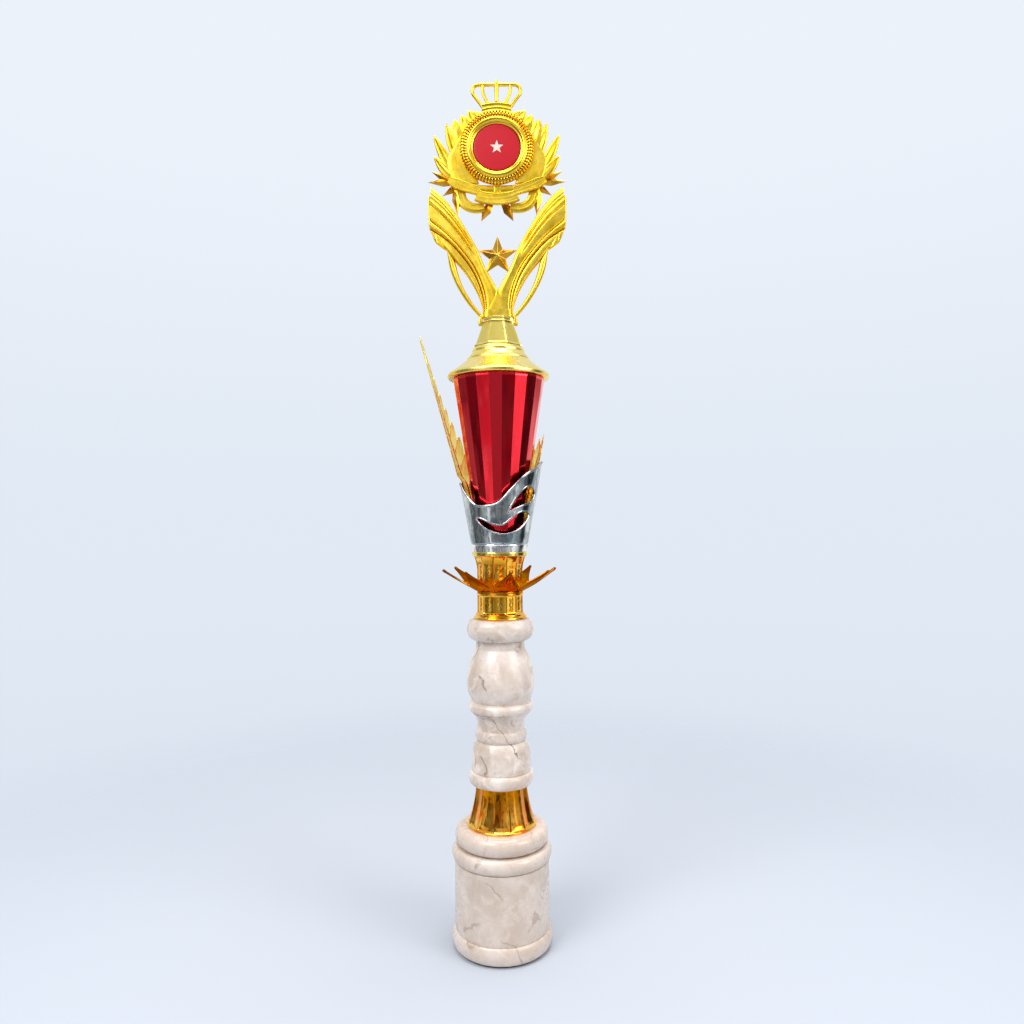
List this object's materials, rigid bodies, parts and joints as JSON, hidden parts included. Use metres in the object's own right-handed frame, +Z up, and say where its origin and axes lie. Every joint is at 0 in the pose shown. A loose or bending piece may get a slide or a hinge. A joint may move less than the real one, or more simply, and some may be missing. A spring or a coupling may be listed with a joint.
{
  "type": "column trophy",
  "caption": "Tall trophy: turned stone base and column, gold collars with a petal ring, faceted red cup in a chrome sleeve, laurel sprays and a winged medal figure.",
  "frame": {"origin": "middle of the felt pad's underside, where the trophy stands", "axes": "+Z up along the column, -Y towards the front of the medal, +X to the front's right"},
  "size_m": [0.1167, 0.0886, 0.6721],
  "materials": {
    "felt": "matt felt",
    "stone": "polished beige marble with fine brown veins",
    "zinc": "zinc plated",
    "orange_gold": "vacuum-plated orange gold mirror",
    "leaf_gold": "vacuum-plated gold",
    "pale_gold": "vacuum-plated pale gold mirror",
    "figure_gold": "vacuum-plated satin gold",
    "bronze_gold": "darker plated gold",
    "silver": "vacuum-plated silver mirror",
    "red_mirror": "metallic red mirror in flat facets",
    "red_insert": "domed satin red disc"
  },
  "bodies": {
    "stand": {"felt_pad": "felt", "marble_base": "stone", "rod_nut_lower": "zinc", "rod_washer_lower": "zinc", "tie_rod": "zinc", "bell_spacer": "orange_gold", "marble_column": "stone", "lower_collar": "orange_gold", "petal_ring": "orange_gold", "upper_collar": "orange_gold", "cup_sleeve": "silver", "laurel_left": "leaf_gold", "laurel_right": "leaf_gold", "cup": "red_mirror", "rod_washer_upper": "zinc", "rod_nut_upper": "zinc"},
    "lid": {"lid": "pale_gold", "neck": "pale_gold"},
    "head": {"stud": "zinc", "stud_washer": "zinc", "stud_nut": "zinc", "wing_frame": "figure_gold", "star": "bronze_gold", "wreath": "figure_gold", "medal_bezel": "figure_gold", "medal_insert": "red_insert", "ribbon": "figure_gold", "crown": "figure_gold"}
  },
  "joints": [
    {"name": "lid_lift", "type": "slide", "parent": "stand", "child": "lid", "axis": [0, 0, 1], "range_m": [0, 0.15]},
    {"name": "head_swivel", "type": "hinge", "parent": "lid", "child": "head", "pos_m": [0, 0, 0.485], "axis": [0, 0, 1], "continuous": true}
  ]
}
